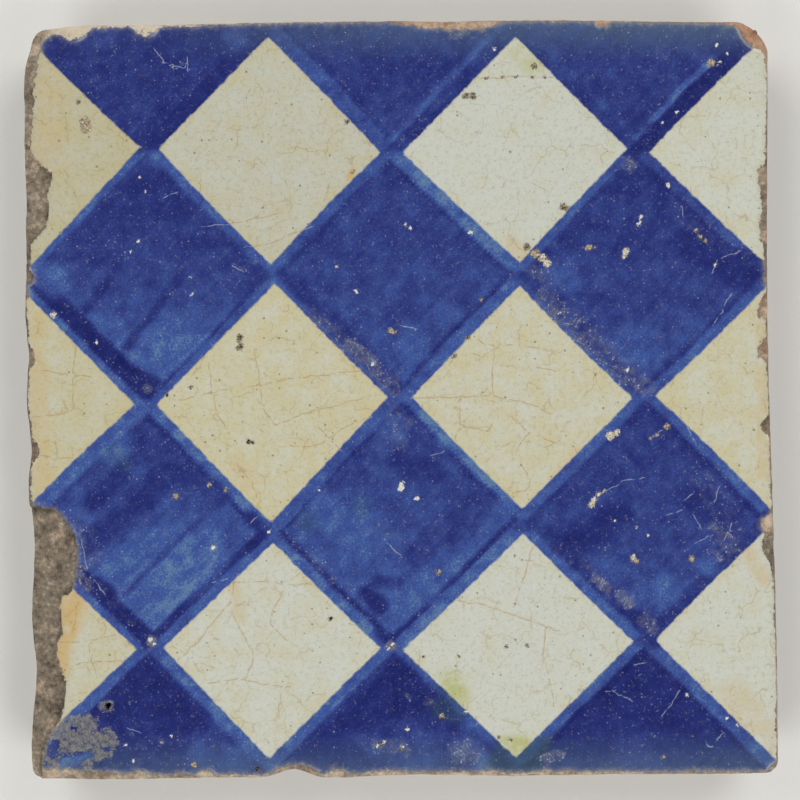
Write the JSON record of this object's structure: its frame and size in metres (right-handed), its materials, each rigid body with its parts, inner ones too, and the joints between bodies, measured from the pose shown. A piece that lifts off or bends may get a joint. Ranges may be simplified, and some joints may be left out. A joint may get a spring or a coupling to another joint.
{
  "type": "decorative wall tile",
  "caption": "Square hand-made tin-glazed wall tile with a blue and white diamond checker face, bevelled sides, worn and chipped edges, and a plain back that beds in mortar.",
  "frame": {"origin": "middle of the flat back, which is the bottom of the tile's box", "axes": "+Z out of the glazed face, +X to the right and +Y to the top of the face as the picture shows it"},
  "size_m": [0.1295, 0.131, 0.014],
  "materials": {
    "glazed_earthenware": "white tin glaze with blue brushwork over buff earthenware, crazed, worn and chipped"
  },
  "bodies": {
    "root": {"tile": "glazed_earthenware"}
  },
  "joints": []
}
